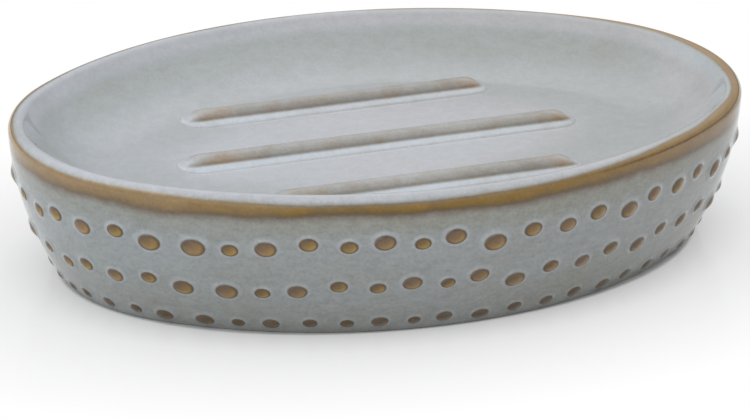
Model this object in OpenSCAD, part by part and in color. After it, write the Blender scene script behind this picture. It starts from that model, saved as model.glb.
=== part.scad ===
// Oval stoneware soap dish: a thin-walled fired body with a shallow bowl for the bar of soap,
// three low ribs on the bowl's floor and three rows of raised dots round its outside.
// Millimetres. The origin is the middle of the footprint, on the table. +X is along the dish, +Z is up.

/* [Dish] */
// Overall length, across the lip
dish_l = 140; // [130:1:150]
// Overall width, across the lip
dish_w = 105; // [98:0.5:112]
// Overall height, from the table to the top of the lip
dish_h = 29; // [26:0.5:32]
// Radius of the two ends of the oval, in plan
end_r = 41; // [38:0.5:44]

/* [Wall] */
// Thickness of the fired wall
wall_t = 5; // [4:0.1:6]
// Radius of the wall's outward curve, in section
wall_curve_r = 53; // [46:1:80]
// How far the base lies inside the lip, all the way round
base_inset = 9.1; // [7:0.1:11]
// Radius of the rounded lip, in section
lip_r = 1.8; // [1.4:0.1:2.2]
// Rounding of the foot's outer edge
foot_edge_r = 0.6; // [0.3:0.1:1]
// How far the clay under the lip reaches down before the hollow underside starts
lip_root_h = 11.5; // [10.5:0.5:13]

/* [Bowl] */
// Depth of the bowl, from the top of the lip to its floor
bowl_depth = 9; // [7:0.5:10]
// Radius of the bowl's side, in section
bowl_curve_r = 24; // [20:1:28]
// Thickness of the bowl's floor
floor_t = 5; // [4:0.1:6]

/* [Ribs for the soap] */
// Width of each rib at the floor
ridge_w = 8; // [6:0.5:10]
// Height of each rib above the floor
ridge_h = 2; // [1.4:0.1:3]
// Distance between the ribs' centre lines
ridge_pitch = 23.5; // [18:0.5:25]
// Length of the front and back ribs
outer_ridge_l = 62; // [50:1:66]
// Length of the middle rib
middle_ridge_l = 79; // [64:1:88]

/* [Dots] */
// Number of dots in each row
dots_per_row = 54; // [40:2:58]
// Width of the largest dot where it meets the wall
dot_w = 5.6; // [4:0.1:6]
// How far the largest dot stands out from the wall
dot_rise = 0.8; // [0.6:0.1:1.2]
// Height of the largest dot's sloping edge
dot_edge_h = 0.35; // [0.2:0.05:0.5]
// How far that edge slopes in
dot_edge_in = 0.2; // [0.1:0.05:0.4]
// Height of the upper row's line
upper_row_z = 19.2; // [17:0.1:21]
// Height of the middle row's line
middle_row_z = 10.6; // [9:0.1:12]
// Height of the lower row's line
lower_row_z = 3.2; // [3:0.1:4]
// How far a dot may sit above or below its row's line
dot_wander = 1.2; // [0:0.1:1.4]
// How far the middle row's dots stand along from the upper row's
middle_row_shift = 5.5; // [0:0.1:7]

/* [Hidden] */
$fn = 96;

// Colours of the glaze: pale grey-blue where it is thick, brown where it thins over an edge
pale_glaze = [0.64, 0.68, 0.70];
taupe_glaze = [0.56, 0.51, 0.46];
brown_glaze = [0.50, 0.37, 0.20];

// How far one shape runs past another that it cuts or joins
overrun = 2;
// How deep the blank of a rib reaches into the clay that it is cut to
seat_depth = 0.6;
// Where the upper row's first dot stands, from the middle of the front towards -X
first_dot_place = 89.3;
// Size of the middle and lower rows' dots, against the upper row's
middle_row_size_share = 0.95;
lower_row_size_share = 0.78;
// How much of the wander the lower row keeps, so that it clears the foot
lower_row_wander_share = 0.4;

// The hand-made unevenness of a row, repeated twice round the dish: each dot's size, its height
// above the row's line and how far it is along from its even place, as shares of the largest dot's
// size, dot_wander and the pitch
dot_size_shares = [0.75, 0.8, 0.85, 0.75, 0.95, 1, 0.7, 0.88, 0.76, 0.72, 0.88, 0.68, 0.88, 0.97,
                   0.8, 0.8, 0.84, 0.94, 0.8, 0.86, 0.8, 0.95, 0.7, 0.85, 0.75, 0.9, 0.72];
dot_height_shares = [-0.85, 0.1, -0.4, 0.35, -0.65, -0.65, -0.65, -0.15, 0.75, 0.25, 0.85, 0.25, 1, -0.85,
                     0.25, -0.25, 0.6, -0.6, 0.6, 0.15, 0.85, -0.75, 0.15, 0.5, -0.5, 0.65, -0.15];
dot_place_shares = [0.03, -0.1, -0.08, 0, -0.05, 0.13, 0.08, 0, 0.08, 0.1, 0, -0.03, -0.18, -0.1,
                    -0.05, 0, -0.05, 0.06, -0.03, 0, -0.06, 0.04, -0.07, 0.09, 0, -0.1, 0.05];

// The plan is an oval of four arcs. The end arcs turn about (+-end_cx, 0) and the side arcs
// about (0, -+side_cy). They meet where the outline has turned by end_turn from the X axis.
end_cx = dish_l / 2 - end_r;
side_r = (pow(end_cx, 2) + pow(dish_w / 2, 2) - pow(end_r, 2)) / (dish_w - 2 * end_r);
side_cy = side_r - dish_w / 2;
end_turn = atan2(side_cy, end_cx);
side_turn = 90 - end_turn;

// The section is drawn in [distance inside the outline, height].
lip_c = [lip_r, dish_h - lip_r];
floor_z = dish_h - bowl_depth;
under_floor_z = floor_z - floor_t;
under_lip_z = dish_h - lip_root_h;

// Centre of the wall's curve: it touches the lip from outside and passes through the base's edge
base_edge = [base_inset, 0];
lip_to_base = norm(base_edge - lip_c);
lip_to_base_dir = (base_edge - lip_c) / lip_to_base;
wall_along = (pow(wall_curve_r - lip_r, 2) - pow(wall_curve_r, 2) + pow(lip_to_base, 2)) / (2 * lip_to_base);
wall_across = sqrt(pow(wall_curve_r - lip_r, 2) - pow(wall_along, 2));
wall_c = lip_c + wall_along * lip_to_base_dir + wall_across * [-lip_to_base_dir[1], lip_to_base_dir[0]];

// Centre of the foot's rounding, which touches the table and the wall's curve
foot_c = [wall_c[0] - sqrt(pow(wall_curve_r - foot_edge_r, 2) - pow(wall_c[1] - foot_edge_r, 2)), foot_edge_r];

// Centre of the bowl's side: it touches the floor and the lip
bowl_c = [lip_c[0] + sqrt(pow(bowl_curve_r + lip_r, 2) - pow(floor_z + bowl_curve_r - lip_c[1], 2)),
          floor_z + bowl_curve_r];
bowl_ring_end = bowl_c[0] + overrun;

// Lengths along the outline, for setting out the dots
end_quarter_l = end_r * end_turn * PI / 180;
side_quarter_l = side_r * side_turn * PI / 180;
outline_l = 4 * (end_quarter_l + side_quarter_l);
dot_pitch = outline_l / dots_per_row;

// Point at distance r from a centre, on the far side from another point
function beyond(from, centre, r) = centre + r * (centre - from) / norm(centre - from);

// How far the wall's outside lies inside the outline at height z, and how far it leans there
function wall_inset(z) = wall_c[0] - sqrt(pow(wall_curve_r, 2) - pow(wall_c[1] - z, 2));
function wall_lean(z) = asin((wall_c[1] - z) / wall_curve_r);

// A place s along the outline from the middle of the front, up to half way round, as
// [centre of its arc, radius of its arc, turn of its outward normal from -Y]
function outline_place(s) =
    s < side_quarter_l ? [[0, side_cy], side_r, s / side_r * 180 / PI]
    : s < side_quarter_l + 2 * end_quarter_l
        ? [[end_cx, 0], end_r, side_turn + (s - side_quarter_l) / end_r * 180 / PI]
        : [[0, -side_cy], side_r, 90 + end_turn + (s - side_quarter_l - 2 * end_quarter_l) / side_r * 180 / PI];

// Brings a place along the outline to between minus and plus half way round
function wrapped(s) = s - outline_l * round(s / outline_l);

// Sweeps a section round the four arcs of the outline
module round_outline() {
    for (half_turn = [0, 180]) {
        rotate([0, 0, half_turn]) {
            translate([end_cx, 0, 0])
                rotate_extrude(start = -end_turn, angle = 2 * end_turn)
                    translate([end_r, 0]) mirror([1, 0]) children();
            translate([0, -side_cy, 0])
                rotate_extrude(start = end_turn, angle = 2 * side_turn)
                    translate([side_r, 0]) mirror([1, 0]) children();
        }
    }
}

// The oval itself, a distance d inside the outline
module oval(d) {
    meet_x = end_cx + (end_r - d) * cos(end_turn);
    for (side = [1, -1])
        translate([side * end_cx, 0]) circle(end_r - d);
    intersection() {
        translate([0, -side_cy]) circle(side_r - d);
        translate([0, side_cy]) circle(side_r - d);
        square([2 * meet_x, dish_w], center = true);
    }
}

// Section of the ring without its hollow underside: wall, lip, bowl side and the floor's edge
module outer_section() {
    difference() {
        intersection() {
            translate(wall_c) circle(wall_curve_r);
            polygon([lip_c, beyond(wall_c, lip_c, lip_r + overrun),
                     beyond(wall_c, foot_c, foot_edge_r + overrun), foot_c, [foot_c[0], 0],
                     [bowl_ring_end, 0], [bowl_ring_end, floor_z], [bowl_c[0], floor_z], bowl_c]);
        }
        translate(bowl_c) circle(bowl_curve_r);
    }
    translate(lip_c) circle(lip_r);
    translate(foot_c) circle(foot_edge_r);
}

// Section of the hollow underside
module hollow_section() {
    difference() {
        intersection() {
            translate(wall_c) circle(wall_curve_r - wall_t);
            polygon([[0, -overrun], [bowl_ring_end + overrun, -overrun],
                     [bowl_ring_end + overrun, under_floor_z], [bowl_c[0], under_floor_z],
                     [bowl_c[0], under_lip_z], [0, under_lip_z]]);
        }
        translate(bowl_c) circle(bowl_curve_r + floor_t);
    }
}

// The flat middle of the floor
module floor_plate(bottom_z) {
    translate([0, 0, bottom_z])
        linear_extrude(floor_z - bottom_z) oval((bowl_c[0] + bowl_ring_end) / 2);
}

module dish_body() {
    color(pale_glaze) {
        round_outline() difference() {
            outer_section();
            hollow_section();
        }
        floor_plate(under_floor_z);
    }
}

// The space that the ring of clay fills, for cutting the ribs to its surface
module clay_surface() {
    round_outline() outer_section();
}

// Half the cap of a circle, as wide as w at height 0 and h high, with its seat some way below
module cap_section(w, h, seat) {
    cap_r = (pow(w / 2, 2) + pow(h, 2)) / (2 * h);
    intersection() {
        translate([0, h - cap_r]) circle(cap_r);
        translate([0, -seat]) square([w, seat + h]);
    }
}

// Half the section of a dab of clay, as wide as w and h high: a low dome on an edge that slopes in by
// edge_in over its height edge_h
module dab_section(w, h, edge_h, edge_in) {
    rim = [w / 2, 0];
    dome_edge = rim + [-edge_in, edge_h];
    dome_r = (pow(dome_edge[0], 2) + pow(h - edge_h, 2)) / (2 * (h - edge_h));
    intersection() {
        translate([0, h - dome_r]) circle(dome_r);
        polygon([[0, 0], rim, beyond(rim, dome_edge, overrun), [0, h + overrun]]);
    }
}

// A rounded rib along X with domed ends, standing on the bowl's floor
module soap_ridge(l, y) {
    straight_l = l - ridge_w;
    color(taupe_glaze) difference() {
        translate([0, y, floor_z]) {
            for (side = [0, 1])
                mirror([side, 0, 0])
                    translate([straight_l / 2, 0, 0])
                        rotate([0, 0, -90])
                            rotate_extrude(angle = 180) cap_section(ridge_w, ridge_h, seat_depth);
            rotate([90, 0, 90])
                translate([0, 0, -straight_l / 2])
                    linear_extrude(straight_l) {
                        cap_section(ridge_w, ridge_h, seat_depth);
                        mirror([1, 0]) cap_section(ridge_w, ridge_h, seat_depth);
                    }
        }
        clay_surface();
        floor_plate(floor_z - bowl_depth);
    }
}

module soap_ridge_back() { soap_ridge(outer_ridge_l, ridge_pitch); }
module soap_ridge_middle() { soap_ridge(middle_ridge_l, 0); }
module soap_ridge_front() { soap_ridge(outer_ridge_l, -ridge_pitch); }

// A dot of clay on the wall's outside, s along the outline and centred at height z, whose size is a
// share of the largest dot's. Its flat back touches the wall's curve in the middle.
module dot(s, z, share) {
    place = outline_place(abs(s));
    side = s < 0 ? -1 : 1;
    translate([side * place[0][0], place[0][1], 0])
        rotate([0, 0, side * place[2] - 90])
            translate([place[1] - wall_inset(z), 0, z])
                rotate([0, 90 + wall_lean(z), 0])
                    rotate_extrude()
                        dab_section(share * dot_w, share * dot_rise, share * dot_edge_h, share * dot_edge_in);
}

module dot_row(row_z, shift, size_share, wander_share) {
    pattern = len(dot_size_shares);
    color(brown_glaze) for (i = [0 : dots_per_row - 1]) {
        place_share = dot_place_shares[i % pattern];
        share = size_share * dot_size_shares[i % pattern];
        s = wrapped(shift - first_dot_place + dot_pitch * (i + place_share));
        z = row_z + dot_wander * wander_share * dot_height_shares[i % pattern];
        dot(s, z, share);
    }
}

module dot_row_upper() { dot_row(upper_row_z, 0, 1, 1); }
module dot_row_middle() { dot_row(middle_row_z, middle_row_shift, middle_row_size_share, 1); }
module dot_row_lower() { dot_row(lower_row_z, 0, lower_row_size_share, lower_row_wander_share); }

dish_body();
soap_ridge_back();
soap_ridge_middle();
soap_ridge_front();
dot_row_upper();
dot_row_middle();
dot_row_lower();
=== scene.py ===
# Looks for an oval stoneware soap dish: its glaze, its ribs and its rows of raised dots, on a white
# table. The solids give the sizes. Every visible piece here is a finer mesh of the same shape, where the
# glaze runs into each corner and thins to brown over each edge. Sizes are in millimetres unless a name or
# a comment says otherwise, and the meshes are in metres.
from collections import defaultdict
import math

import bpy
from mathutils import Matrix, Vector


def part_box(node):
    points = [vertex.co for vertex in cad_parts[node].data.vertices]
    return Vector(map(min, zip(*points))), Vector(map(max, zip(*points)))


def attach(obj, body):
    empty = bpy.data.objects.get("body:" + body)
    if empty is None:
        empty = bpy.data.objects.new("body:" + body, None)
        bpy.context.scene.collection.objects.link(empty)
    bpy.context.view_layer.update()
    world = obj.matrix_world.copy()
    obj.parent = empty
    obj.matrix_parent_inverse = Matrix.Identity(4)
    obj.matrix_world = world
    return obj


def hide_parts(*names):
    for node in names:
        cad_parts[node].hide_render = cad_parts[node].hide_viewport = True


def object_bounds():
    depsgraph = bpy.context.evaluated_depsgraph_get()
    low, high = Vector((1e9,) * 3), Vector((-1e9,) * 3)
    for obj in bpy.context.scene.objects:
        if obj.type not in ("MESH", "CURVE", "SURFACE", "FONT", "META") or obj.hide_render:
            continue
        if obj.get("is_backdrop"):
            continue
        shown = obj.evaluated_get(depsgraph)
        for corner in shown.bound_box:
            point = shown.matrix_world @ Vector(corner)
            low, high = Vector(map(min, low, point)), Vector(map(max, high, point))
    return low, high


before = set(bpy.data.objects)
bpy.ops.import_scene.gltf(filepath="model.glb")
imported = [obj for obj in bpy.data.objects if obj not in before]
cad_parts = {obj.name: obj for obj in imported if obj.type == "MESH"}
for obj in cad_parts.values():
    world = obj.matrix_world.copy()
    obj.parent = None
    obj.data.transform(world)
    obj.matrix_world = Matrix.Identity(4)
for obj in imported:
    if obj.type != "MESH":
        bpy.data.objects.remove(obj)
cad_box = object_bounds()

MM = 0.001

# The dish's overall size, from its solid
body_low, body_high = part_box("dish_body")
DISH_L = (body_high.x - body_low.x) / MM
DISH_W = (body_high.y - body_low.y) / MM
DISH_H = body_high.z / MM

# Plan: four arcs, of one radius at the two ends and another along the two sides
END_R = 41
END_CX = DISH_L / 2 - END_R
SIDE_R = (END_CX**2 + (DISH_W / 2) ** 2 - END_R**2) / (DISH_W - 2 * END_R)
SIDE_CY = SIDE_R - DISH_W / 2
END_TURN = math.atan2(SIDE_CY, END_CX)
SIDE_TURN = math.pi / 2 - END_TURN
SIDE_QUARTER_L = SIDE_R * SIDE_TURN
END_QUARTER_L = END_R * END_TURN
OUTLINE_L = 4 * (SIDE_QUARTER_L + END_QUARTER_L)

# Section: the wall, the lip, the foot, the bowl and the hollow under it
WALL_T = 5
WALL_R = 53
BASE_INSET = 9.1
LIP_R = 1.8
FOOT_EDGE_R = 0.6
BOWL_R = 24
BOWL_DEPTH = 9
FLOOR_T = 5
UNDER_LIP_DROP = 11.5
FLOOR_Z = DISH_H - BOWL_DEPTH
UNDER_FLOOR_Z = FLOOR_Z - FLOOR_T
UNDER_LIP_Z = DISH_H - UNDER_LIP_DROP

# Ribs: half width where the glaze runs out on to the floor, height, spacing and lengths
RIB_REACH = 4.6
RIB_H = 2.0
RIB_PITCH = 23.5
RIB_LENGTHS = {"back": 62, "middle": 79, "front": 62}

# Dots: the brown crest's half width and half height, how far it stands out, how far the glaze runs out
# round it as a share of the crest, how many are in a row, how far to the left of the front's middle the
# first one sits, and how far their heights wander
CREST_HALF_W = 2.45
CREST_HALF_H = 1.9
DOT_RISE = 0.72
DOT_SKIRT = 1.55
DOTS_PER_ROW = 54
FIRST_DOT = 89.3
DOT_WANDER = 1.2
DOT_PITCH = OUTLINE_L / DOTS_PER_ROW

# Each row: height of its line, shift along, size of its dots, how much of the wander it keeps, and how
# clearly its dots break to brown
DOT_ROWS = {
    "upper": (19.2, 0.0, 1.0, 1.0, 1.0),
    "middle": (10.3, 5.5, 0.95, 1.0, 0.9),
    "lower": (2.4, 0.0, 0.84, 0.3, 0.4),
}
# The rows' hand-made unevenness, as in the solids: size, height and place of each dot
DOT_SIZES = [0.75, 0.8, 0.85, 0.75, 0.95, 1, 0.7, 0.88, 0.76, 0.72, 0.88, 0.68, 0.88, 0.97,
             0.8, 0.8, 0.84, 0.94, 0.8, 0.86, 0.8, 0.95, 0.7, 0.85, 0.75, 0.9, 0.72]
DOT_HEIGHTS = [-0.85, 0.1, -0.4, 0.35, -0.65, -0.65, -0.65, -0.15, 0.75, 0.25, 0.85, 0.25, 1, -0.85,
               0.25, -0.25, 0.6, -0.6, 0.6, 0.15, 0.85, -0.75, 0.15, 0.5, -0.5, 0.65, -0.15]
DOT_PLACES = [0.03, -0.1, -0.08, 0, -0.05, 0.13, 0.08, 0, 0.08, 0.1, 0, -0.03, -0.18, -0.1,
              -0.05, 0, -0.05, 0.06, -0.03, 0, -0.06, 0.04, -0.07, 0.09, 0, -0.1, 0.05]

# How thin the glaze lies, from 0 where it pools to 1 where it breaks to brown
THIN_WALL = 0.30
THIN_BOWL = 0.24
THIN_FLOOR = 0.11
THIN_HALO = 0.18
THIN_RIM = 0.15
# How grainy the glaze is in the bowl, as a share of the grain outside
BOWL_GRAIN = 0.45

# The brown band on the lip, as [distance along the outline from the front's middle towards +X,
# where the brown sets in and where it ends past the crest, how golden it is]
LIP_BAND = [
    (-192.8, 0.4, 3.0, 0.2), (-125, 0.5, 3.6, 0.2), (-108, 1.3, 4.7, 0.25), (-88, 2.1, 5.3, 0.3),
    (-62, 2.1, 5.2, 0.35), (-46, 2.3, 5.1, 0.6), (-30, 2.5, 4.8, 1.0), (-6, 2.6, 4.7, 1.0),
    (14, 2.1, 4.7, 0.85), (33, 1.5, 5.1, 0.6), (50, 1.1, 5.3, 0.45), (68, 0.2, 5.3, 0.4),
    (95, -0.8, 5.2, 0.4), (118, -0.3, 3.8, 0.2), (150, 0.2, 3.0, 0.2), (192.8, 0.4, 3.0, 0.2),
]


def leg(longest, other):
    """The third side of a right triangle, from its longest side and its other leg."""
    return math.sqrt(longest**2 - other**2)


def circle_meet(a, a_r, b, b_r):
    """The point at distances a_r from a and b_r from b, on the left of the way from a to b."""
    gap = math.dist(a, b)
    way_x, way_y = (b[0] - a[0]) / gap, (b[1] - a[1]) / gap
    along = (a_r**2 - b_r**2 + gap**2) / (2 * gap)
    across = leg(a_r, along)
    return (a[0] + along * way_x - across * way_y, a[1] + along * way_y + across * way_x)


# Centres of the section's curves, as [distance inside the outline, height]
LIP_C = (LIP_R, DISH_H - LIP_R)
WALL_C = circle_meet(LIP_C, WALL_R - LIP_R, (BASE_INSET, 0), WALL_R)
FOOT_C = (WALL_C[0] - leg(WALL_R - FOOT_EDGE_R, WALL_C[1] - FOOT_EDGE_R), FOOT_EDGE_R)
BOWL_CZ = FLOOR_Z + BOWL_R
BOWL_C = (LIP_C[0] + leg(BOWL_R + LIP_R, BOWL_CZ - LIP_C[1]), BOWL_CZ)


def wall_inset(z):
    """How far the wall's outside lies inside the outline at height z."""
    return WALL_C[0] - leg(WALL_R, WALL_C[1] - z)


def wall_lean(z):
    """Angle by which the wall's outward normal points down at height z."""
    return math.asin((WALL_C[1] - z) / WALL_R)


def wall_past(z):
    """Roughly how far past the lip's crest the wall is at height z."""
    return LIP_R * (math.pi / 2 + wall_lean(z)) + (LIP_C[1] - z) / math.cos(wall_lean(z))


def outline(s):
    """Point and outward normal of the plan's outline, a distance s from the front's middle towards +X."""
    s = s % OUTLINE_L
    half = s > OUTLINE_L / 2
    s = s - OUTLINE_L / 2 if half else s
    if s < SIDE_QUARTER_L:
        centre, radius, turn = (0, SIDE_CY), SIDE_R, s / SIDE_R
    elif s < SIDE_QUARTER_L + 2 * END_QUARTER_L:
        centre, radius, turn = (END_CX, 0), END_R, SIDE_TURN + (s - SIDE_QUARTER_L) / END_R
    else:
        past = s - SIDE_QUARTER_L - 2 * END_QUARTER_L
        centre, radius, turn = (0, -SIDE_CY), SIDE_R, math.pi / 2 + END_TURN + past / SIDE_R
    normal = Vector((math.sin(turn), -math.cos(turn)))
    point = Vector(centre) + radius * normal
    return (-point, -normal) if half else (point, normal)


def arc(centre, radius, start, end, steps):
    """Points on a circle between two angles in degrees, both ends included."""
    turns = [math.radians(start + (end - start) * k / steps) for k in range(steps + 1)]
    return [(centre[0] + radius * math.cos(turn), centre[1] + radius * math.sin(turn)) for turn in turns]


def angle_of(point, centre):
    """Direction of a point from a centre, in degrees from 0 to 360."""
    return math.degrees(math.atan2(point[1] - centre[1], point[0] - centre[0])) % 360


def smooth(start, end, x):
    """An even ease from 0 at start to 1 at end, and level beyond both. End may be the lower number."""
    x = min(max((x - start) / (end - start), 0), 1)
    return x * x * (3 - 2 * x)


def fade(start, end, x):
    """The same ease the other way round, from 1 at start to 0 at end."""
    return 1 - smooth(start, end, x)


def peak(middle, half_width, x):
    """A soft hump, 1 at its middle."""
    return math.exp(-(((x - middle) / half_width) ** 2))


def blend(a, b, share):
    """A number on the way from a to b."""
    return a + (b - a) * share


# The section's fineness, and the angle in degrees that points straight down in it
UNDER_STEPS = 10
FOOT_STEPS = 6
WALL_STEPS = 48
LIP_STEPS = 28
BOWL_STEPS = 36
DOWN = 270
# How much of each side a cut corner takes, and how far outside the hollow the foot's flat begins
CORNER_CUT = 0.25
FLAT_START = 0.3


def eased(points):
    """The same run of points with its corners cut once."""
    out = [points[0]]
    for a, b in zip(points, points[1:]):
        for share in (CORNER_CUT, 1 - CORNER_CUT):
            out.append(tuple((1 - share) * here + share * there for here, there in zip(a, b)))
    return out + [points[-1]]


def underside_section():
    """From the middle of the under-floor out to the foot ring's inner edge."""
    inner_wall_r = WALL_R - WALL_T
    under_bowl_r = BOWL_R + FLOOR_Z - UNDER_FLOOR_Z
    roof_x = BOWL_C[0] - leg(under_bowl_r, BOWL_C[1] - UNDER_LIP_Z)
    roof_turn = angle_of((roof_x, UNDER_LIP_Z), BOWL_C)
    wall_x = WALL_C[0] - leg(inner_wall_r, WALL_C[1] - UNDER_LIP_Z)
    top_turn = angle_of((wall_x, UNDER_LIP_Z), WALL_C)
    foot_x = WALL_C[0] - leg(inner_wall_r, WALL_C[1])
    foot_turn = angle_of((foot_x, 0), WALL_C)
    points = arc(BOWL_C, under_bowl_r, DOWN, roof_turn, UNDER_STEPS)
    points += arc(WALL_C, inner_wall_r, top_turn, foot_turn, UNDER_STEPS)
    return eased(points) + [(foot_x - FLAT_START, 0)]


def outer_section():
    """From the foot's outer edge up the wall, over the lip and down the bowl to the floor's edge."""
    foot_turn = angle_of(FOOT_C, WALL_C)
    lip_turn = angle_of(LIP_C, WALL_C)
    bowl_turn = angle_of(LIP_C, BOWL_C)
    points = arc(FOOT_C, FOOT_EDGE_R, DOWN, foot_turn, FOOT_STEPS)
    points += arc(WALL_C, WALL_R, foot_turn, lip_turn, WALL_STEPS)[1:]
    points += arc(LIP_C, LIP_R, lip_turn, angle_of(BOWL_C, LIP_C), LIP_STEPS)[1:]
    points += arc(BOWL_C, BOWL_R, bowl_turn, DOWN, BOWL_STEPS)[1:]
    return points


def along_section(points):
    """Each point's distance along the section past the lip's crest, positive down the wall outside."""
    crest = max(range(len(points)), key=lambda k: points[k][1])
    run = [0.0]
    for a, b in zip(points, points[1:]):
        run.append(run[-1] + math.dist(a, b))
    return [run[crest] - r for r in run]


def keep(values, **numbers):
    """Adds one point's number to each named list of values."""
    for name, number in numbers.items():
        values[name].append(number)


def new_mesh(name, points, faces, values, flat=()):
    """A smooth mesh object from points in millimetres, with named values at each point. The faces in flat
    are shaded flat, so that a closed back doesn't bend the shading at its edge."""
    mesh = bpy.data.meshes.new(name)
    mesh.from_pydata([[c * MM for c in p] for p in points], [], faces)
    for value_name, numbers in values.items():
        mesh.attributes.new(value_name, "FLOAT", "POINT").data.foreach_set("value", numbers)
    mesh.polygons.foreach_set("use_smooth", [True] * len(mesh.polygons))
    for k in flat:
        mesh.polygons[k].use_smooth = False
    mesh.update()
    piece = bpy.data.objects.new(name, mesh)
    bpy.context.scene.collection.objects.link(piece)
    return piece


def ring_faces(rows, steps, first=0):
    """Quads between each two of a run of closed rings of points."""
    return [
        (first + r * steps + k, first + r * steps + (k + 1) % steps,
         first + (r + 1) * steps + (k + 1) % steps, first + (r + 1) * steps + k)
        for r in range(rows - 1)
        for k in range(steps)
    ]


# The look of the body. Amounts are glaze thinness, as in THIN_WALL. A pair is where a change begins and
# where it is complete, past the lip's crest, or along the outline where its name says ALONG.

# The rim at the far left, where the glaze is thinner, and the way from the rim to the wall
RIM_LEFT = 0.12
RIM_LEFT_ALONG = (-75, -110)
RIM_TO_WALL = (1.2, 3.2)
# The wall: an olive band just under the lip, and painted shade, as a thinner and darker coat, towards the
# foot
OLIVE = 0.09
OLIVE_BEGIN = (4.0, 5.0)
OLIVE_END = (6, 11)
LOW_WALL_SHADE = 0.05
LOW_WALL_SHADE_BEGIN = (15, 28)

# The bowl, where pairs count down into it: painted highlights, as a thicker and paler coat, just inside
# the lip and on the bowl's right side, which faces the light from the left, and a thinner coat at the two
# far sides
INSIDE_LIP_HIGHLIGHT = 0.1
INSIDE_LIP_HIGHLIGHT_END = (2.5, 5)
BOWL_RIGHT_HIGHLIGHT = 0.12
BOWL_RIGHT_HIGHLIGHT_ALONG_BEGIN = (55, 75)
BOWL_RIGHT_HIGHLIGHT_ALONG_END = (100, 125)
BOWL_RIGHT_HIGHLIGHT_END = (8, 16)
BOWL_FAR = 0.07
BOWL_FAR_ALONG_LEFT = (-70, -100)
BOWL_FAR_ALONG_RIGHT = (60, 110)
BOWL_FAR_BEGIN = (3.5, 6)
BOWL_FAR_END = (9, 16)

# A slow, uneven wave along the outline, as [share, radians per millimetre, start in radians]
WAVES = [(0.6, 0.11, 1), (0.4, 0.29, 0)]
# How far the upper and lower edge of the lip's band wander, and how far along the upper one's wave is
# shifted
TOP_WANDER = 0.15
LOW_WANDER = 0.3
TOP_SHIFT = 40
# The brown of the lip's band: how it sets in round the upper edge and ends round the lower one, how thin
# the glaze lies where it is golden, how much thinner where it is taupe, from and to how far inside the
# two edges, and how that wavers
BROWN_BEGIN = (-1.0, 0.3)
BROWN_END = (-1.5, 1.4)
BROWN_GOLDEN = 0.66
BROWN_TAUPE = 0.24
TAUPE_INSIDE = (0.4, -0.7)
BROWN_WAVER = 0.03
BROWN_WAVER_PACE = 3
# A fine line of thicker glaze along the lip's front right
CREASE = 0.2
CREASE_PAST = 2.2
CREASE_HALF_W = 0.25
CREASE_ALONG_BEGIN = (15, 45)
CREASE_ALONG_END = (90, 110)
# Gold: how it sets in round the upper edge and ends round the lower one, and how much of it ends there
GOLD_BEGIN = (-0.2, 0.3)
GOLD_END = (-0.6, 0.4)
GOLD_LOSS = 0.9
# Cream, partly the glaze's pinkish colour and partly a painted highlight along the lip's top: how it sets
# in and ends round the band's upper edge, how much less there is where the band is golden and at the
# right, and where it starts at the left
CREAM_AND_HIGHLIGHT_BEGIN = (-1.8, -1.0)
CREAM_AND_HIGHLIGHT_END = (0.1, 0.7)
CREAM_AND_HIGHLIGHT_GOLD_LOSS = 0.8
CREAM_AND_HIGHLIGHT_RIGHT_LOSS = 0.6
CREAM_AND_HIGHLIGHT_RIGHT_ALONG = (0, 40)
CREAM_AND_HIGHLIGHT_LEFT_ALONG = (-125, -70)


def lip_band(s):
    """Where the lip's brown band starts and ends, and how golden it is, at s along the outline."""
    s = (s + OUTLINE_L / 2) % OUTLINE_L - OUTLINE_L / 2
    for low, high in zip(LIP_BAND, LIP_BAND[1:]):
        if s <= high[0]:
            share = smooth(low[0], high[0], s)
            return [blend(a, b, share) for a, b in zip(low[1:], high[1:])]
    return LIP_BAND[-1][1:]


def wobble(s):
    """A slow, uneven wave along the outline, about -1 to 1."""
    return sum(share * math.sin(pace * s + start) for share, pace, start in WAVES)


def wall_thin(past):
    """Glaze thinness on the wall outside, with painted shade that darkens it towards the foot."""
    olive = OLIVE * smooth(*OLIVE_BEGIN, past) * fade(*OLIVE_END, past)
    # The last term is painted shade that darkens the wall towards the foot
    return THIN_WALL + olive + LOW_WALL_SHADE * smooth(*LOW_WALL_SHADE_BEGIN, past)


def outside_thin(past, s):
    """Glaze thinness outside the lip's crest, before the lip's brown band."""
    rim = THIN_RIM + RIM_LEFT * smooth(*RIM_LEFT_ALONG, s)
    return blend(rim, wall_thin(past), smooth(*RIM_TO_WALL, past))


def bowl_thin(depth, s):
    """Glaze thinness in the bowl at a distance depth from the lip's crest, with painted highlights just
    inside the lip and on the right side.
    """
    lip_highlight = INSIDE_LIP_HIGHLIGHT * fade(*INSIDE_LIP_HIGHLIGHT_END, depth)
    # right is the painted highlight on the bowl's right side, which faces the light from the left
    right = smooth(*BOWL_RIGHT_HIGHLIGHT_ALONG_BEGIN, s) * fade(*BOWL_RIGHT_HIGHLIGHT_ALONG_END, s)
    right *= BOWL_RIGHT_HIGHLIGHT * fade(*BOWL_RIGHT_HIGHLIGHT_END, depth)
    far = smooth(*(BOWL_FAR_ALONG_LEFT if s < 0 else BOWL_FAR_ALONG_RIGHT), s)
    far *= BOWL_FAR * smooth(*BOWL_FAR_BEGIN, depth) * fade(*BOWL_FAR_END, depth)
    return THIN_BOWL - lip_highlight - right + far


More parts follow.
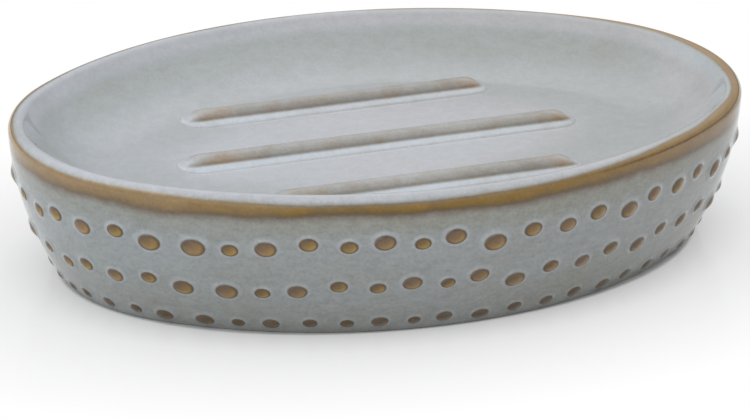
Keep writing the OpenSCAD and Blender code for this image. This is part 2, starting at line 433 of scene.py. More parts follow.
def body_look(past, s, band):
    """Glaze thinness on the body's outside and in its bowl, how golden its brown is, and how much creamy
    colour and painted highlight lie along the lip's top.
    """
    top, low, gold = band
    top += TOP_WANDER * wobble(s + TOP_SHIFT)
    low += LOW_WANDER * wobble(s)
    base = outside_thin(past, s) if past > 0 else bowl_thin(-past, s)
    brown = smooth(*BROWN_BEGIN, past - top) * fade(*BROWN_END, past - low)
    level = BROWN_GOLDEN + BROWN_WAVER * wobble(BROWN_WAVER_PACE * s)
    level += BROWN_TAUPE * (1 - gold) * fade(top + TAUPE_INSIDE[0], low + TAUPE_INSIDE[1], past)
    crease = CREASE * peak(CREASE_PAST, CREASE_HALF_W, past)
    crease *= smooth(*CREASE_ALONG_BEGIN, s) * fade(*CREASE_ALONG_END, s)
    golden = gold * smooth(*GOLD_BEGIN, past - top) * (1 - GOLD_LOSS * smooth(*GOLD_END, past - low))
    # Along the band's upper edge: partly the glaze's creamy colour, partly a painted highlight on the
    # lip's top
    cream = smooth(*CREAM_AND_HIGHLIGHT_BEGIN, past - top) * fade(*CREAM_AND_HIGHLIGHT_END, past - top)
    cream *= (1 - CREAM_AND_HIGHLIGHT_GOLD_LOSS * gold) * (1 - CREAM_AND_HIGHLIGHT_RIGHT_LOSS * smooth(*CREAM_AND_HIGHLIGHT_RIGHT_ALONG, s))
    cream *= smooth(*CREAM_AND_HIGHLIGHT_LEFT_ALONG, s)
    return blend(base, level, brown) - crease * brown, golden, cream


STEPS_ROUND = 480
# The flat floor's rings, inside and underneath: at these insets, and then at these shares of the last
FLAT_INSETS = (24, 27, 31, 35, 38)
FLAT_SHARES = (0.8, 0.6, 0.4, 0.2)
# Below these heights the foot is bare clay: inside its ring and outside it
BARE_INSIDE_Z = 1.5
BARE_OUTSIDE_Z = 0.05
# How far past the crest the grain grows from the bowl's to the full grain outside
GRAIN_GROWS = (0, 2)


def body_faces(rows):
    """Quads between the body's rings, and triangles from the first and the last ring to the two middle
    points that come after all rings."""
    faces = ring_faces(rows, STEPS_ROUND)
    last = (rows - 1) * STEPS_ROUND
    middle_below = rows * STEPS_ROUND
    middle_above = middle_below + 1
    for k in range(STEPS_ROUND):
        after = (k + 1) % STEPS_ROUND
        faces.append((after, k, middle_below))
        faces.append((last + k, last + after, middle_above))
    return faces


def body_piece():
    """The body as closed rings: from the middle of its hollow out under the foot, up the wall, over the
    lip and down to the middle of the floor."""
    outer = outer_section()
    under = underside_section()
    outer_past = along_section(outer)
    places = [OUTLINE_L * (k / STEPS_ROUND) - OUTLINE_L / 2 for k in range(STEPS_ROUND)]
    spots = [(s, *outline(s), lip_band(s)) for s in places]
    points = []
    values = defaultdict(list)

    def ring(inset, z, thin=THIN_WALL, bare=0.0, past=None, share=1.0):
        """One ring of points. Where past is given, the look follows from it instead of from thin."""
        for s, point, normal, band in spots:
            place = (point - inset * normal) * share
            points.append((place.x, place.y, z))
            here_thin, gold, cream = (thin, 0.0, 0.0) if past is None else body_look(past, s, band)
            grain = BOWL_GRAIN if past is None else blend(BOWL_GRAIN, 1, smooth(*GRAIN_GROWS, past))
            keep(values, thin=here_thin, gold=gold, cream=cream, grain=grain, bare=bare)

    for share in reversed(FLAT_SHARES):
        ring(FLAT_INSETS[-1], UNDER_FLOOR_Z, share=share)
    for inset in reversed(FLAT_INSETS):
        ring(inset, UNDER_FLOOR_Z)
    for inset, z in under:
        ring(inset, z, bare=float(z < BARE_INSIDE_Z))
    ring((under[-1][0] + outer[0][0]) / 2, 0, bare=1.0)
    for (inset, z), past in zip(outer, outer_past):
        ring(inset, z, bare=float(z < BARE_OUTSIDE_Z and past > 0), past=past)
    edge_thin = body_look(outer_past[-1], 0, spots[0][-1])[0]
    for inset in FLAT_INSETS:
        ring(inset, FLOOR_Z, blend(edge_thin, THIN_FLOOR, smooth(FLAT_INSETS[0], FLAT_INSETS[-1], inset)))
    for share in FLAT_SHARES:
        ring(FLAT_INSETS[-1], FLOOR_Z, THIN_FLOOR, share=share)
    rows = len(points) // STEPS_ROUND
    for z, thin in ((UNDER_FLOOR_Z, THIN_WALL), (FLOOR_Z, THIN_FLOOR)):
        points.append((0, 0, z))
        keep(values, thin=thin, gold=0.0, cream=0.0, grain=BOWL_GRAIN, bare=0.0)
    return new_mesh("dish_body_glazed", points, body_faces(rows), values)


# A rib's fineness: its rings, the innermost one's size as a share of the step between two, and the
# points round each end and along each side
RIB_RINGS = 30
RIB_FIRST_RING = 0.02
RIB_STEPS_END = 36
RIB_STEPS_SIDE = 90
# How its section rounds over, and how far its rim dips into the floor, beyond this share of its reach
RIB_ROUNDNESS = 1.35
RIB_DIP = 0.012
RIB_DIP_BEGIN = 0.93

# The look of a rib. A pair is where a change begins and where it is complete, from the rib's middle line
# or as its name says: ALONG past the start of the round end, SHARE from -1 to 1 along it, FACING from -1
# at the back to 1 in front, PAST_EDGE from where the brown ends.

# Where the brown ends at the sides, how much further it goes at the ends, and how it ends round there
RIB_EDGE = 3.1
RIB_EDGE_AT_ENDS = 0.6
RIB_BROWN_END_PAST_EDGE = (-0.35, 0.3)
# Where the brown starts behind the middle line, how much nearer the front it starts at the ends, and
# where it is full
RIB_BACK_EDGE = -2.0
RIB_BACK_EDGE_AT_ENDS = 3.3
RIB_BACK_EDGE_ALONG = (-4.0, 3.8)
RIB_FULL = 2.9
RIB_COVER_POWER = 0.8
# The fainter brown all over, also on the back
RIB_BACK_COVER = 0.4
RIB_BACK_COVER_END = (1.3, 3.4)
# How thin the glaze lies in the brown, and how much thinner round its edge
RIB_THIN = 0.5
RIB_RIM = 0.1
RIB_RIM_BEGIN_PAST_EDGE = (-1.1, -0.3)
# The pale band round the foot, thickest in front and at the tips: partly glaze pooled there, partly a
# painted highlight standing for the front flank's reflection and the glints at the tips
RIB_POOL_AND_GLINT = 0.1
RIB_POOL_AND_GLINT_BEGIN_PAST_EDGE = (0, 0.4)
RIB_POOL_AND_GLINT_END = (3.9, 4.4)
# A painted reflection: a soft grey line in front of the foot, where the floor's glaze mirrors the rib,
# and its share at the left end
RIB_REFLECTION_LINE = 0.13
RIB_REFLECTION_LINE_AT = 4.3
RIB_REFLECTION_LINE_HALF_W = 0.3
RIB_REFLECTION_LINE_FACING = (0.3, 1.0)
RIB_REFLECTION_LINE_LEFT = 0.3
# Gold all over and at the tips, the left one weaker
RIB_GOLD = 0.05
RIB_TIP_GOLD = 0.8
RIB_LEFT_TIP = 0.7
RIB_LEFT_TIP_SHARE_BEGIN = (-0.7, -0.9)
RIB_LEFT_TIP_SHARE_END = (-1.0, -1.1)
RIB_RIGHT_TIP_SHARE = (0.85, 1.05)


def rib_cover(past_end, d, front, edge):
    """How much brown covers a rib: most on its front, fainter on its back."""
    back_edge = RIB_BACK_EDGE + RIB_BACK_EDGE_AT_ENDS * smooth(*RIB_BACK_EDGE_ALONG, past_end)
    cover = min(max((d * front - back_edge) / (RIB_FULL - back_edge), 0), 1) ** RIB_COVER_POWER
    cover = max(cover, RIB_BACK_COVER * fade(*RIB_BACK_COVER_END, d))
    return cover * fade(*RIB_BROWN_END_PAST_EDGE, d - edge)


def rib_look(x_share, past_end, d, front):
    """Thinness and gold on a rib: x_share runs from -1 to 1 along it, past_end is how far past the start
    of its round end, d is how far from its middle line, and front is 1 on the side that faces the front,
    -1 at the back and between at the ends."""
    at_ends = 1 - front**2
    edge = RIB_EDGE + RIB_EDGE_AT_ENDS * at_ends
    brown = rib_cover(past_end, d, front, edge)
    rim = RIB_RIM * smooth(*RIB_RIM_BEGIN_PAST_EDGE, d - edge)
    # Partly pooled glaze, partly a painted highlight: the front flank's reflection and the glints at the
    # tips
    pool_and_glint = RIB_POOL_AND_GLINT * smooth(*RIB_POOL_AND_GLINT_BEGIN_PAST_EDGE, d - edge) * fade(*RIB_POOL_AND_GLINT_END, d)
    pool_and_glint *= max((1 + front) / 2, at_ends)
    # line is a painted reflection of the rib in the floor's glaze
    line = RIB_REFLECTION_LINE * smooth(*RIB_REFLECTION_LINE_FACING, front) * peak(RIB_REFLECTION_LINE_AT, RIB_REFLECTION_LINE_HALF_W, d)
    line *= blend(RIB_REFLECTION_LINE_LEFT, 1, smooth(-1, 1, x_share))
    left_tip = smooth(*RIB_LEFT_TIP_SHARE_BEGIN, x_share) * fade(*RIB_LEFT_TIP_SHARE_END, x_share)
    tips = smooth(*RIB_RIGHT_TIP_SHARE, x_share) + RIB_LEFT_TIP * left_tip
    thin = blend(THIN_FLOOR, RIB_THIN, brown) + rim * brown - pool_and_glint + line
    return thin, RIB_GOLD + RIB_TIP_GOLD * tips * brown


def rib_piece(name, length, y):
    """A rib as rings round its middle line, from the crest out to where the glaze runs out."""
    half = length / 2 - RIB_REACH
    steps = 2 * (RIB_STEPS_END + RIB_STEPS_SIDE)
    points = []
    values = defaultdict(list)

    def add(x, across, d, z):
        """One point, at a distance d from the middle line."""
        points.append((x, y + across, z))
        thin, gold = rib_look(x / half, abs(x) - half, d, -across / d)
        keep(values, thin=thin, gold=gold, grain=BOWL_GRAIN, bare=0.0)

    for r in range(RIB_RINGS):
        share = (r + RIB_FIRST_RING) / (RIB_RINGS - 1 + RIB_FIRST_RING)
        d = RIB_REACH * share
        z = FLOOR_Z + RIB_H * (1 - share**2) ** RIB_ROUNDNESS - RIB_DIP * smooth(RIB_DIP_BEGIN, 1, share)
        for side in (1, -1):
            for k in range(RIB_STEPS_END):
                turn = math.pi * (k / RIB_STEPS_END - 1 / 2)
                add(side * (half + d * math.cos(turn)), side * d * math.sin(turn), d, z)
            for k in range(RIB_STEPS_SIDE):
                add(side * half * (1 - 2 * k / RIB_STEPS_SIDE), side * d, d, z)
    faces = [face[::-1] for face in ring_faces(RIB_RINGS, steps)]
    faces.append(tuple(range(steps)))
    faces.append(tuple(reversed(range(len(points) - steps, len(points)))))
    return new_mesh(name, points, faces, values, [len(faces) - 1])


# A dot's rings, as shares of its crest, and the points on each
DOT_RINGS = (0.15, 0.3, 0.45, 0.58, 0.68, 0.76, 0.82, 0.88, 0.93, 0.98,
             1.03, 1.08, 1.14, 1.22, 1.32, 1.44, DOT_SKIRT)
DOT_STEPS = 40
# How its section rounds over, and how far its rim dips into the wall, beyond this share of its crest
DOT_ROUNDNESS = 2.1
DOT_DIP = 0.008
DOT_DIP_BEGIN = 1.3
# How deep in the wall a dot's back is closed, and the lowest height that its glaze runs down to
DOT_ROOT = 0.5
DOT_LOWEST = 0.3

# The look of a dot. Pairs and places are shares of its crest.

# Where the brown ends, how softly, how much crisper below, and how much of that lies outside
DOT_EDGE = 0.97
DOT_SOFTNESS = 0.13
DOT_CRISPNESS_BELOW = 0.04
DOT_SOFTNESS_OUTSIDE = 0.7
# Painted light and shade: each dot is lighter and more golden towards its right and lower side, and
# darker towards its upper left, by these shares
DOT_LIT_RIGHT = 0.5
DOT_LIT_BELOW = 0.7
# How thin the glaze lies on the crest, how that grows to the painted lit side, drops on weak rows, and
# its least
DOT_THIN = 0.75
DOT_THIN_LIT_SIDE = 0.3
DOT_THIN_WEAK = 0.35
DOT_THIN_LEAST = 0.57
# How thin it lies towards the crest's edge, how far it gets there, and how much less on the painted lit
# side
DOT_RIM_THIN = 0.56
DOT_RIM_SHARE = 0.85
DOT_RIM_LIT_SIDE = 0.2
DOT_RIM_BEGIN = (0.6, 0.82)
# Where the pale halo turns back into the wall's glaze
DOT_HALO_END = (1.0, 1.5)
# Gold on every dot, and what the painted lit side, the dot's turn in the row, the rim and a weak row add
DOT_GOLD = 0.6
DOT_GOLD_LIT_SIDE = 0.75
DOT_GOLD_CHANGE = 0.35
DOT_GOLD_TURN = 2.4
DOT_GOLD_RIM = 0.3
DOT_GOLD_RIM_BEGIN = (0.7, 0.92)
DOT_GOLD_WEAK = 0.6


def dot_look(share, angle, i, strength, wall):
    """Thinness and gold on dot i, at a share of its crest from its middle and an angle from straight
    along the wall. strength is less than 1 on rows where the glaze lies thicker, and wall is the wall's
    thinness."""
    down = -math.sin(angle)
    weak = 1 - strength
    # side is painted light: it grows towards each dot's lower right and shrinks towards its upper left
    side = share * (DOT_LIT_RIGHT * math.cos(angle) + DOT_LIT_BELOW * down)
    softness = DOT_SOFTNESS - DOT_CRISPNESS_BELOW * down
    brown = fade(DOT_EDGE - softness, DOT_EDGE + DOT_SOFTNESS_OUTSIDE * softness, share)
    crest = max(DOT_THIN + DOT_THIN_LIT_SIDE * side - DOT_THIN_WEAK * weak, DOT_THIN_LEAST)
    to_rim = (DOT_RIM_SHARE - DOT_RIM_LIT_SIDE * side) * smooth(*DOT_RIM_BEGIN, share)
    crest = blend(crest, DOT_RIM_THIN, to_rim)
    around = blend(THIN_HALO, wall, smooth(*DOT_HALO_END, share))
    around = blend(around, wall, weak)
    gold = DOT_GOLD + DOT_GOLD_LIT_SIDE * side + DOT_GOLD_CHANGE * math.sin(DOT_GOLD_TURN * i)
    gold += DOT_GOLD_RIM * smooth(*DOT_GOLD_RIM_BEGIN, share) + DOT_GOLD_WEAK * weak
    return blend(around, crest, brown), min(max(gold, 0.0), 1.0)


def dot_points(s, z, size):
    """The points of one dot wrapped on to the wall, from its middle out, each with its share of the
    crest, its angle from straight along the wall and the height where it sits."""
    room = min(1, (z - DOT_LOWEST) / (DOT_SKIRT * size * CREST_HALF_H))
    for share in (0.0, *DOT_RINGS):
        steps = 1 if share == 0 else DOT_STEPS
        rise = size * DOT_RISE * (1 - (share / DOT_SKIRT) ** 2) ** DOT_ROUNDNESS
        rise -= DOT_DIP * smooth(DOT_DIP_BEGIN, DOT_SKIRT, share)
        for k in range(steps):
            angle = 2 * math.pi * k / steps
            up = share * size * CREST_HALF_H * math.sin(angle)
            up *= room if up < 0 else 1
            here = z + up * math.cos(wall_lean(z))
            lean = wall_lean(here)
            point, normal = outline(s + share * size * CREST_HALF_W * math.cos(angle))
            place = point - (wall_inset(here) - rise * math.cos(lean)) * normal
            yield (place.x, place.y, here - rise * math.sin(lean)), share, angle, here


def dot_row_piece(name, row_z, shift, size_share, wander_share, strength):
    """All the dots of one row, each closed behind with a flat back in the wall."""
    points, faces, backs = [], [], []
    values = defaultdict(list)
    for i in range(DOTS_PER_ROW):
        at = i % len(DOT_SIZES)
        s = shift - FIRST_DOT + DOT_PITCH * (i + DOT_PLACES[at])
        z = row_z + DOT_WANDER * wander_share * DOT_HEIGHTS[at]
        first = len(points)
        for place, share, angle, here in dot_points(s, z, size_share * DOT_SIZES[at]):
            points.append(place)
            thin, gold = dot_look(share, angle, i, strength, wall_thin(wall_past(here)))
            keep(values, thin=thin, gold=gold, grain=1.0, bare=0.0)
        last = len(points) - DOT_STEPS
        point, normal = outline(s)
        root = point - (wall_inset(z) + DOT_ROOT) * normal
        points.append((root.x, root.y, z))
        keep(values, thin=THIN_WALL, gold=0.0, grain=1.0, bare=0.0)
        faces += [face[::-1] for face in ring_faces(len(DOT_RINGS), DOT_STEPS, first + 1)]
        for k in range(DOT_STEPS):
            after = (k + 1) % DOT_STEPS
            faces.append((first, first + 1 + k, first + 1 + after))
            backs.append(len(faces))
            faces.append((len(points) - 1, last + after, last + k))
    return new_mesh(name, points, faces, values, backs)


def link(tree, *pairs):
    """Joins each pair of sockets."""
    for a, b in pairs:
        tree.links.new(a, b)


def feed(tree, socket, value):
    """Joins a value that is a socket, and sets one that is a plain number or colour."""
    if isinstance(value, bpy.types.NodeSocket):
        link(tree, (value, socket))
    else:
        socket.default_value = value


def ramp(tree, stops, value):
    """A colour ramp driven by value, with stops of (place, colour) from place 0 to place 1."""
    node = tree.nodes.new("ShaderNodeValToRGB")
    elements = node.color_ramp.elements
    for element, (place, colour) in ((elements[0], stops[0]), (elements[-1], stops[-1])):
        element.position = place
        element.color = (*colour, 1)
    for place, colour in stops[1:-1]:
        elements.new(place).color = (*colour, 1)
    link(tree, (value, node.inputs[0]))
    return node.outputs[0]


def grey_ramp(tree, stops, value):
    """A ramp of plain numbers, with stops of (place, number)."""
    return ramp(tree, [(place, (grey, grey, grey)) for place, grey in stops], value)


def noise(tree, where, scale, detail, roughness, seed):
    """Noise at a scale per metre, from 0 to 1. The seed moves it elsewhere."""
    node = tree.nodes.new("ShaderNodeTexNoise")
    node.noise_dimensions = "4D"
    node.inputs["W"].default_value = seed
    node.inputs["Scale"].default_value = scale
    node.inputs["Detail"].default_value = detail
    node.inputs["Roughness"].default_value = roughness
    link(tree, (where, node.inputs["Vector"]))
    return node.outputs[0]


def math_node(tree, operation, *values):
    """One arithmetic node on sockets or numbers."""
    node = tree.nodes.new("ShaderNodeMath")
    node.operation = operation
    for socket, value in zip(node.inputs, values):
        feed(tree, socket, value)
    return node.outputs[0]


# Where a mix node, which has several sockets of each name, keeps those for colours
MIX_SHARE, MIX_A, MIX_B = 0, 6, 7
MIX_RESULT = 2


def mix(tree, share, a, b, blend_type="MIX"):
    """One colour mix, whose share and colours are sockets or plain values."""
    node = tree.nodes.new("ShaderNodeMix")
    node.data_type = "RGBA"
    node.blend_type = blend_type
    for at, value in ((MIX_SHARE, share), (MIX_A, a), (MIX_B, b)):
        feed(tree, node.inputs[at], value)
    return node.outputs[MIX_RESULT]


def attribute(tree, name):
    """A named value from the mesh's points."""
    node = tree.nodes.new("ShaderNodeAttribute")
    node.attribute_name = name
    return node.outputs["Fac"]


def linear(*srgb):
    """A colour given as it looks on screen, from 0 to 255, in the numbers that a shader takes."""
    offset, power = 0.055, 2.4
    return tuple(((c / 255 + offset) / (1 + offset)) ** power for c in srgb)


# The glaze's colours, as [thinness, colour]
PALE_STOPS = [
    (0.00, linear(190, 198, 204)), (0.12, linear(188, 189, 193)), (0.24, linear(174, 177, 179)),
    (0.30, linear(167, 171, 171)), (0.40, linear(158, 158, 148)),
]
GOLD_STOPS = PALE_STOPS + [
    (0.48, linear(122, 112, 94)), (0.57, linear(104, 84, 50)), (0.68, linear(144, 108, 12)),
    (0.80, linear(156, 123, 56)), (0.92, linear(174, 140, 76)), (1.00, linear(192, 160, 96)),
]
TAUPE_STOPS = PALE_STOPS + [
    (0.48, linear(144, 136, 128)), (0.57, linear(129, 111, 88)), (0.68, linear(150, 126, 98)),
    (0.80, linear(166, 138, 104)), (1.00, linear(182, 154, 116)),
]
DOT_GOLD_STOPS = PALE_STOPS + [
    (0.48, linear(124, 110, 88)), (0.57, linear(92, 72, 46)), (0.68, linear(132, 100, 44)),
    (0.80, linear(158, 126, 58)), (0.92, linear(182, 150, 82)), (1.00, linear(194, 164, 98)),
]
DOT_TAUPE_STOPS = PALE_STOPS + [
    (0.48, linear(134, 122, 110)), (0.57, linear(106, 88, 70)), (0.68, linear(132, 103, 76)),
    (0.80, linear(154, 118, 82)), (1.00, linear(172, 140, 98)),
]
# Colours for the lip's creamy top, partly a painted highlight
CREAM_AND_HIGHLIGHT_STOPS = PALE_STOPS[:2] + [
    (0.30, linear(190, 188, 184)), (0.50, linear(192, 178, 156)), (0.70, linear(174, 148, 114)),
    (0.85, linear(162, 134, 98)), (1.00, linear(158, 130, 94)),
]
# The ribs' palest stop also colours their painted highlight in front of the foot
RIB_TAUPE_STOPS = [
    (0.00, linear(198, 205, 211)), (0.12, linear(188, 189, 193)), (0.24, linear(172, 172, 172)),
    (0.36, linear(156, 154, 149)), (0.50, linear(132, 129, 123)), (0.62, linear(116, 112, 106)),
    (1.00, linear(112, 108, 100)),
]
RIB_GOLD_STOPS = [
    (0.00, linear(198, 205, 211)), (0.12, linear(188, 189, 193)), (0.24, linear(178, 168, 156)),
    (0.36, linear(164, 140, 114)), (0.50, linear(142, 112, 78)), (0.62, linear(118, 96, 66)),
    (1.00, linear(108, 88, 62)),
]
# The grain's darker and paler spots, painted shade that darkens the dish from its left end to its right
# end, away from the light, and bare clay
GRAIN_DARK = (0.87, 0.87, 0.86)
GRAIN_PALE = (1.11, 1.11, 1.11)
GRAIN_STOPS = [(0.0, GRAIN_DARK), (0.36, GRAIN_DARK), (0.64, GRAIN_PALE), (1.0, GRAIN_PALE)]
RIGHT_END_SHADE_STOPS = [(0.0, (0.97, 1.0, 1.03)), (0.5, (1.0, 1.0, 1.0)), (1.0, (0.89, 0.88, 0.85))]
CLAY_STOPS = [(0.0, linear(176, 150, 122)), (0.5, linear(198, 174, 146)), (1.0, linear(212, 190, 162))]

# Noise in the glaze, as [scale per metre, detail, roughness, seed], and the middle that it runs round
CLOUD = (60, 2, 0.5, 1)
MOTTLE = (300, 4, 0.65, 2)
SPECK = (1500, 2, 0.6, 3)
SHEEN = (500, 3, 0.5, 4)
SWELL = (90, 2, 0.4, 5)
PEEL = (700, 3, 0.5, 6)
GRIT = (2500, 3, 0.6, 7)
COARSE_GRAIN = (450, 2, 0.6, 8)
FINE_GRAIN = (1700, 2, 0.6, 9)
NOISE_MIDDLE = 0.5
# The soft noises are twice as fine in height as along
SQUASH = (1, 1, 2)
# How much each noise moves the thinness, in drifts, and each material's drift and patches of gold
CLOUD_SHARE = 4.5
MOTTLE_SHARE = 3.2
SPECK_SHARE = 2.4
WALL_DRIFT = 0.034
WALL_PATCHES = 0.8
RIB_DRIFT = 0.06
RIB_PATCHES = 1.6
# Roughness of the glaze, how much its sheen adds, and roughness of bare clay
GLAZE_ROUGH = 0.02
SHEEN_ROUGH = 0.04
BARE_ROUGH = 0.85
# Unevenness of the surface: the two noises' shares, and the height in metres
SWELL_SHARE = 0.7
PEEL_SHARE = 0.05
UNEVEN_HEIGHT = 0.0001


def glaze_colour(tree, where, golden_stops, taupe_stops, drift, patches):
    """The glaze's colour: it follows how thin it lies, with cloudy drift, mottling, specks and grain, the
    lip's creamy colour with its painted highlight, and painted shade towards the dish's right end.
    """
    squashed = tree.nodes.new("ShaderNodeMapping")
    squashed.inputs["Scale"].default_value = SQUASH
    link(tree, (where, squashed.inputs["Vector"]))
    flat = squashed.outputs[0]
    cloud = math_node(tree, "SUBTRACT", noise(tree, flat, *CLOUD), NOISE_MIDDLE)
    mottle = math_node(tree, "SUBTRACT", noise(tree, flat, *MOTTLE), NOISE_MIDDLE)
    speck = math_node(tree, "SUBTRACT", noise(tree, where, *SPECK), NOISE_MIDDLE)
    wander = math_node(tree, "MULTIPLY", cloud, drift * CLOUD_SHARE)
    for spots, share in ((mottle, MOTTLE_SHARE), (speck, SPECK_SHARE)):
        wander = math_node(tree, "ADD", wander, math_node(tree, "MULTIPLY", spots, drift * share))
    thin = math_node(tree, "ADD", attribute(tree, "thin"), wander)
    gold = math_node(tree, "ADD", attribute(tree, "gold"), math_node(tree, "MULTIPLY", mottle, patches))
    gold.node.use_clamp = True
    colour = mix(tree, gold, ramp(tree, taupe_stops, thin), ramp(tree, golden_stops, thin))
    # The lip's creamy top, partly a painted highlight
    colour = mix(tree, attribute(tree, "cream"), colour, ramp(tree, CREAM_AND_HIGHLIGHT_STOPS, thin))
    side = tree.nodes.new("ShaderNodeSeparateXYZ")
    link(tree, (where, side.inputs[0]))
    along = math_node(tree, "MULTIPLY_ADD", side.outputs[0], 1 / (DISH_L * MM), 1 / 2)
    # Painted shade: the colour darkens towards the dish's right end, away from the light
    colour = mix(tree, 1.0, colour, ramp(tree, RIGHT_END_SHADE_STOPS, along), "MULTIPLY")
    grain = math_node(tree, "ADD", noise(tree, flat, *COARSE_GRAIN), noise(tree, where, *FINE_GRAIN))
    shade = ramp(tree, GRAIN_STOPS, math_node(tree, "DIVIDE", grain, 2.0))
    return mix(tree, attribute(tree, "grain"), colour, shade, "MULTIPLY")


def glaze_bump(tree, where):
    """The fired surface's unevenness: a slow swell and a fine peel."""
    swell = math_node(tree, "MULTIPLY", noise(tree, where, *SWELL), SWELL_SHARE)
    peel = math_node(tree, "MULTIPLY", noise(tree, where, *PEEL), PEEL_SHARE)
    bump = tree.nodes.new("ShaderNodeBump")
    bump.inputs["Distance"].default_value = UNEVEN_HEIGHT
    link(tree, (math_node(tree, "ADD", swell, peel), bump.inputs["Height"]))
    return bump.outputs[0]


def glaze(name, golden_stops, taupe_stops, drift, patches):
    """Glossy reactive glaze, and rough bare clay where the mesh says so."""
    material = bpy.data.materials.new(name)
    material.use_nodes = True
    tree = material.node_tree
    shader = tree.nodes["Principled BSDF"]
    where = tree.nodes.new("ShaderNodeTexCoord").outputs["Object"]
    bare = attribute(tree, "bare")
    colour = glaze_colour(tree, where, golden_stops, taupe_stops, drift, patches)
    clay = ramp(tree, CLAY_STOPS, noise(tree, where, *GRIT))
    rough = math_node(tree, "MULTIPLY_ADD", noise(tree, where, *SHEEN), SHEEN_ROUGH, GLAZE_ROUGH)
    rough = math_node(tree, "MAXIMUM", rough, math_node(tree, "MULTIPLY", bare, BARE_ROUGH))
    link(tree, (mix(tree, bare, colour, clay), shader.inputs["Base Color"]),
         (rough, shader.inputs["Roughness"]), (glaze_bump(tree, where), shader.inputs["Normal"]))
    return material


def dress(piece, node, material):
    """Makes a piece stand for its CAD node, riding on the dish's one body."""
    piece.data.materials.append(material)
    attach(piece, "root")
    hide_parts(node)


def build_dish():
    """The body, the three ribs and the three rows of dots, each in its glaze."""
    wall_glaze = glaze("pale_glaze", GOLD_STOPS, TAUPE_STOPS, WALL_DRIFT, WALL_PATCHES)
    rib_glaze = glaze("rib_glaze", RIB_GOLD_STOPS, RIB_TAUPE_STOPS, RIB_DRIFT, RIB_PATCHES)
    dot_glaze = glaze("dot_glaze", DOT_GOLD_STOPS, DOT_TAUPE_STOPS, WALL_DRIFT, WALL_PATCHES)
    dress(body_piece(), "dish_body", wall_glaze)
    for place, y in (("back", RIB_PITCH), ("middle", 0), ("front", -RIB_PITCH)):
        rib = rib_piece(f"soap_ridge_{place}_glazed", RIB_LENGTHS[place], y)
        dress(rib, f"soap_ridge_{place}", rib_glaze)
    for place, row in DOT_ROWS.items():
        dots = dot_row_piece(f"dot_row_{place}_glazed", *row)
        dress(dots, f"dot_row_{place}", dot_glaze)


# The table: half its side in metres, its colour as it takes light, and its roughness
TABLE_HALF = 3.0
TABLE_COLOUR = (0.72, 0.72, 0.72, 1)
TABLE_ROUGH = 0.08
# How many times the foot's outline the table's turn into plain white reaches, and the turn itself, as
# [share of that reach, whiteness]
TABLE_FAR = 2.5
TABLE_WHITE = [(0.0, 0.0), (0.401, 0.0), (0.406, 0.35), (0.48, 0.6), (0.76, 1.0), (1.0, 1.0)]


def bounced_ray(tree, path):
    """1 for mirrored or bent rays, 0 for others."""
    return math_node(tree, "MAXIMUM", path.outputs["Is Glossy Ray"], path.outputs["Is Transmission Ray"])


def table_whiteness(tree):
    """How far the table has turned into plain white: none at the dish's foot, all further out."""
    where = tree.nodes.new("ShaderNodeTexCoord").outputs["Object"]
    oval = tree.nodes.new("ShaderNodeVectorMath")
    oval.operation = "MULTIPLY"
    foot_half_l, foot_half_w = ((size / 2 - BASE_INSET) * MM for size in (DISH_L, DISH_W))
    oval.inputs[1].default_value = (1 / foot_half_l, 1 / foot_half_w, 0)
    reach = tree.nodes.new("ShaderNodeVectorMath")
    reach.operation = "LENGTH"
    link(tree, (where, oval.inputs[0]), (oval.outputs[0], reach.inputs[0]))
    return grey_ramp(tree, TABLE_WHITE, math_node(tree, "DIVIDE", reach.outputs["Value"], TABLE_FAR))


def table_material():
    """A white table that rays from the camera, and mirrored or bent ones, see fade into plain white."""
    material = bpy.data.materials.new("white_table")
    material.use_nodes = True
    tree = material.node_tree
    shader = tree.nodes["Principled BSDF"]
    shader.inputs["Base Color"].default_value = TABLE_COLOUR
    shader.inputs["Roughness"].default_value = TABLE_ROUGH
    glow = tree.nodes.new("ShaderNodeEmission")
    both = tree.nodes.new("ShaderNodeMixShader")
    path = tree.nodes.new("ShaderNodeLightPath")
    seen = math_node(tree, "MAXIMUM", path.outputs["Is Camera Ray"], bounced_ray(tree, path))
    link(tree, (math_node(tree, "MULTIPLY", seen, table_whiteness(tree)), both.inputs[0]),
         (shader.outputs[0], both.inputs[1]), (glow.outputs[0], both.inputs[2]),
         (both.outputs[0], tree.nodes["Material Output"].inputs["Surface"]))
    return material


def build_table():
    """One flat square that the dish stands on."""
    mesh = bpy.data.meshes.new("table")
    half = TABLE_HALF
    mesh.from_pydata([(-half, -half, 0), (half, -half, 0), (half, half, 0), (-half, half, 0)], [],
                     [(0, 1, 2, 3)])
    mesh.materials.append(table_material())
    table = bpy.data.objects.new("table", mesh)
    bpy.context.scene.collection.objects.link(table)
    table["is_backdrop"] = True


# The studio's colour, and how bright it is as light: towards the horizon, how much more straight up, and
# how much more from the left
LIGHT_COLOUR = (0.98, 0.99, 1.0, 1)
LIGHT_LOW = 0.19
LIGHT_RISE = 1.14
LIGHT_LEFT = 0.52
# How bright the camera sees it
SEEN = 1.0
# How bright the glaze mirrors it, as [height of the direction, brightness]: dim near the horizon
MIRRORED = [(0.0, 0.15), (0.09, 0.15), (0.13, 0.5), (0.36, 0.55), (0.5, 0.95), (0.7, 1.25), (1.0, 1.3)]


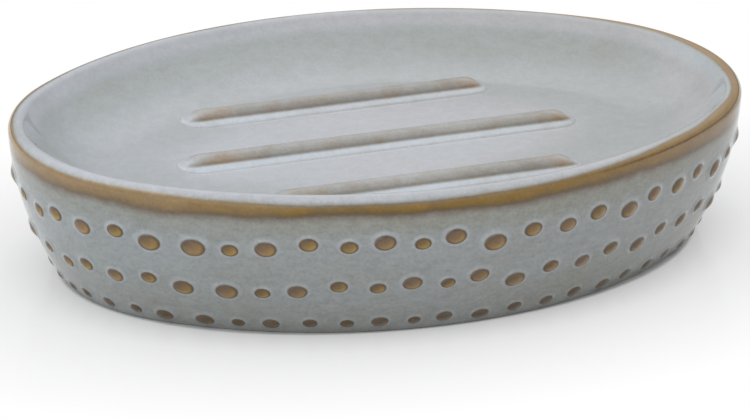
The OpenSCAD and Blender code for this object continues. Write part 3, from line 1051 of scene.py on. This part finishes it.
def build_light():
    """A soft studio, brighter overhead and on the left, and plain white to the camera."""
    world = bpy.data.worlds.new("studio")
    bpy.context.scene.world = world
    world.use_nodes = True
    tree = world.node_tree
    back = tree.nodes["Background"]
    back.inputs["Color"].default_value = LIGHT_COLOUR
    split = tree.nodes.new("ShaderNodeSeparateXYZ")
    link(tree, (tree.nodes.new("ShaderNodeTexCoord").outputs["Generated"], split.inputs[0]))
    up = math_node(tree, "MAXIMUM", split.outputs[2], 0.0)
    left = math_node(tree, "MAXIMUM", math_node(tree, "MULTIPLY", split.outputs[0], -1.0), 0.0)
    strength = math_node(tree, "ADD", math_node(tree, "MULTIPLY", up, LIGHT_RISE), LIGHT_LOW)
    strength = math_node(tree, "ADD", strength, math_node(tree, "MULTIPLY", left, LIGHT_LEFT))
    path = tree.nodes.new("ShaderNodeLightPath")
    mirrored = grey_ramp(tree, MIRRORED, up)
    for share, seen in ((bounced_ray(tree, path), mirrored), (path.outputs["Is Camera Ray"], SEEN)):
        rest = math_node(tree, "MULTIPLY", strength, math_node(tree, "SUBTRACT", 1.0, share))
        strength = math_node(tree, "ADD", rest, math_node(tree, "MULTIPLY", share, seen))
    link(tree, (strength, back.inputs["Strength"]))


# The camera, fitted to the photo: its direction from the dish in degrees, how far off it stands, and how
# far to the right of the dish's middle, and above the table, it aims
CAMERA_AZIMUTH = -20.733
CAMERA_ELEVATION = 20.488
CAMERA_DISTANCE = 936.74
CAMERA_ACROSS = -0.648
CAMERA_UP = 6.660
CAMERA_SENSOR = 36
CAMERA_LENS = 240
# The furthest that it sees, in metres
CAMERA_FAR = 20


def build_camera():
    """The photo's camera."""
    azimuth, elevation = math.radians(CAMERA_AZIMUTH), math.radians(CAMERA_ELEVATION)
    level = math.cos(elevation)
    back = Vector((math.sin(azimuth) * level, -math.cos(azimuth) * level, math.sin(elevation)))
    right = Vector((math.cos(azimuth), math.sin(azimuth), 0))
    up = back.cross(right)
    data = bpy.data.cameras.new("camera")
    data.sensor_width = CAMERA_SENSOR
    data.lens = CAMERA_LENS
    data.clip_end = CAMERA_FAR
    camera = bpy.data.objects.new("camera", data)
    turn = Matrix((right, up, back)).transposed().to_4x4()
    place = CAMERA_ACROSS * right + Vector((0, 0, CAMERA_UP)) + CAMERA_DISTANCE * back
    camera.matrix_world = Matrix.Translation(place * MM) @ turn
    bpy.context.scene.collection.objects.link(camera)
    bpy.context.scene.camera = camera


build_dish()
build_table()
build_light()
build_camera()
bpy.context.scene.view_settings.view_transform = "Standard"

boxes = {"cad": cad_box, "visual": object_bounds()}
{k: [list(corner) for corner in box] for k, box in boxes.items()}
